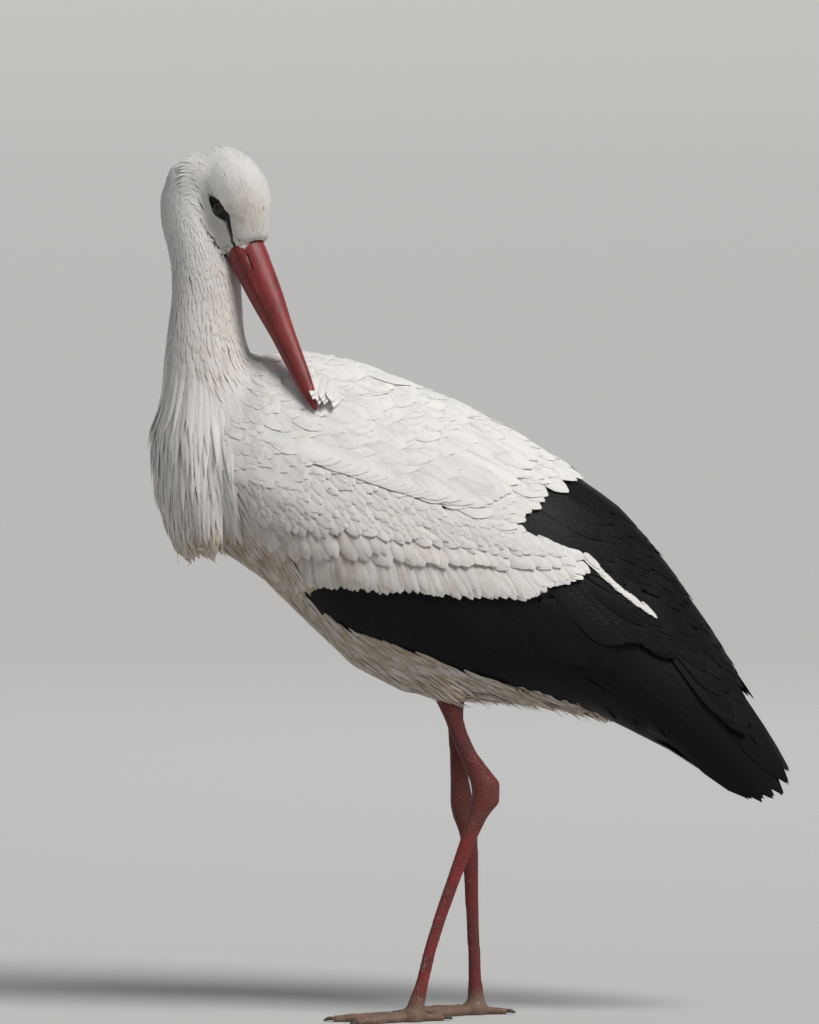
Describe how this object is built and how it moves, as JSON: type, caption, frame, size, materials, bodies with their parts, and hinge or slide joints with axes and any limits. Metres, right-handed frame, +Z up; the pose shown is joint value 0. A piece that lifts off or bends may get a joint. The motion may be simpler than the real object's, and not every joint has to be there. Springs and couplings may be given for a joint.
{
  "type": "white stork",
  "caption": "Life-size white stork standing on both feet, head turned back to preen its left shoulder, black quills and red bill and legs.",
  "frame": {"origin": "on the floor, below the middle of the bird's bounding box", "axes": "+Z up; the bird's breast faces -X and its folded wing tips point towards +X; its left side is -Y"},
  "size_m": [0.5971, 0.1938, 0.8127],
  "materials": {
    "white_plumage": "soft matt white feathers, faintly stained buff",
    "black_plumage": "smooth black flight feathers with a slight sheen",
    "bill": "satin red horn",
    "leg": "dry red scaled skin",
    "claw": "dark brown horn",
    "eye": "wet dark brown"
  },
  "bodies": {
    "root": {"bill_lower": "bill", "bill_upper": "bill", "breast_plumes": "white_plumage", "claw_left_hind": "claw", "claw_left_inner": "claw", "claw_left_middle": "claw", "claw_left_outer": "claw", "claw_right_hind": "claw", "claw_right_inner": "claw", "claw_right_middle": "claw", "claw_right_outer": "claw", "eye_left": "eye", "eye_right": "eye", "head": "white_plumage", "neck_lower": "white_plumage", "neck_upper": "white_plumage", "shank_left": "leg", "shank_right": "leg", "tail": "white_plumage", "tarsus_left": "leg", "tarsus_right": "leg", "thigh_left": "white_plumage", "thigh_right": "white_plumage", "toe_left_hind": "leg", "toe_left_inner": "leg", "toe_left_middle": "leg", "toe_left_outer": "leg", "toe_right_hind": "leg", "toe_right_inner": "leg", "toe_right_middle": "leg", "toe_right_outer": "leg", "trunk": "white_plumage", "wing_left_coverts": "white_plumage", "wing_left_quills": "black_plumage", "wing_right_coverts": "white_plumage", "wing_right_quills": "black_plumage"}
  },
  "joints": []
}
